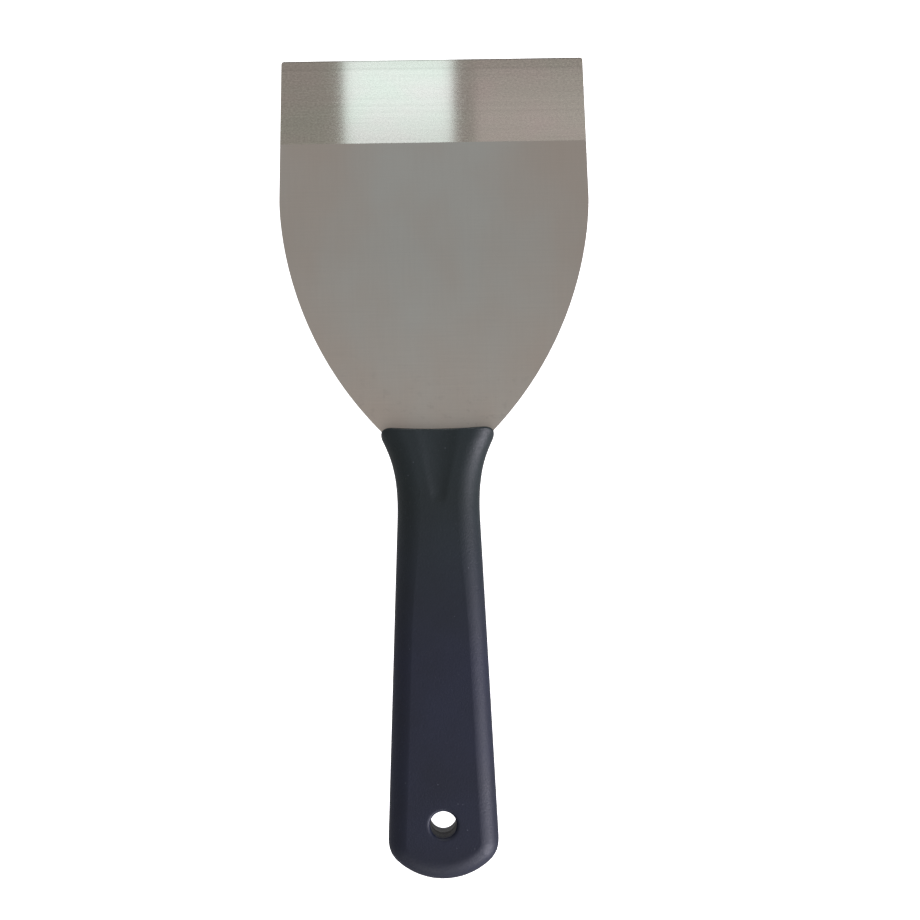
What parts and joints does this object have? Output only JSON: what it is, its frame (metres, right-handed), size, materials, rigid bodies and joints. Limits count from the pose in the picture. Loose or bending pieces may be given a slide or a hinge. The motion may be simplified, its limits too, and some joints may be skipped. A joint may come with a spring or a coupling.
{
  "type": "putty knife",
  "caption": "Wide bell-shaped flexible steel blade with a taper-ground edge, its tang moulded into a dark plastic handle with a hang hole.",
  "frame": {"origin": "middle of the tool's length and width, at the flat back of the handle that it lies on", "axes": "+Y from the handle's butt towards the blade's edge, +Z out of the front face, +X across the blade"},
  "size_m": [0.1028, 0.271, 0.018],
  "materials": {
    "blade_steel": "satin body with finely cross-ground band at the edge",
    "handle_plastic": "fine matt moulded texture, dark blue-black"
  },
  "bodies": {
    "handle": {"handle": "handle_plastic"},
    "blade": {"blade": "blade_steel"}
  },
  "joints": [
    {"name": "blade_flex", "type": "hinge", "parent": "handle", "child": "blade", "pos_m": [0, 0.0345, 0.009], "axis": [1, 0, 0], "range_deg": [-15, 15], "stiffness_Nm_per_rad": 9.5, "deforming": ["blade"]}
  ]
}
